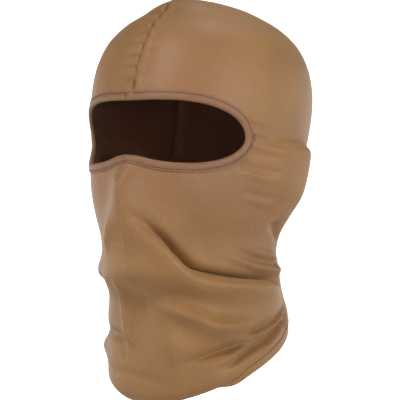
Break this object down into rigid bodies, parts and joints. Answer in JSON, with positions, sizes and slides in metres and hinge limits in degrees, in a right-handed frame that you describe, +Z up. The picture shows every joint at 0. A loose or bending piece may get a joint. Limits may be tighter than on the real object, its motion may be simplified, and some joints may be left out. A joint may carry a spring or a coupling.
{
  "type": "balaclava face mask",
  "caption": "Close-fitting stretch knit balaclava that covers the head, face and neck, with a wide eye opening.",
  "frame": {"origin": "inside the head cavity, on the mid-plane, 3.5 mm above the level of the middle of the eye opening, near the middle of the head from front to back", "axes": "+Z up towards the crown, -Y forward out of the eye opening, +X towards the wearer's left"},
  "size_m": [0.1646, 0.224, 0.3063],
  "materials": {
    "jersey": "matte",
    "jersey_binding": "matte",
    "thread": "satin"
  },
  "bodies": {
    "root": {"hood_body": "jersey", "eye_binding": "jersey_binding", "binding_needle_thread": "thread", "binding_looper_thread": "thread", "binding_end_tack": "thread", "seam_needle_threads": "thread", "seam_lower_looper_thread": "thread", "seam_upper_looper_thread": "thread", "hem_needle_thread": "thread", "hem_looper_thread": "thread"}
  },
  "joints": []
}
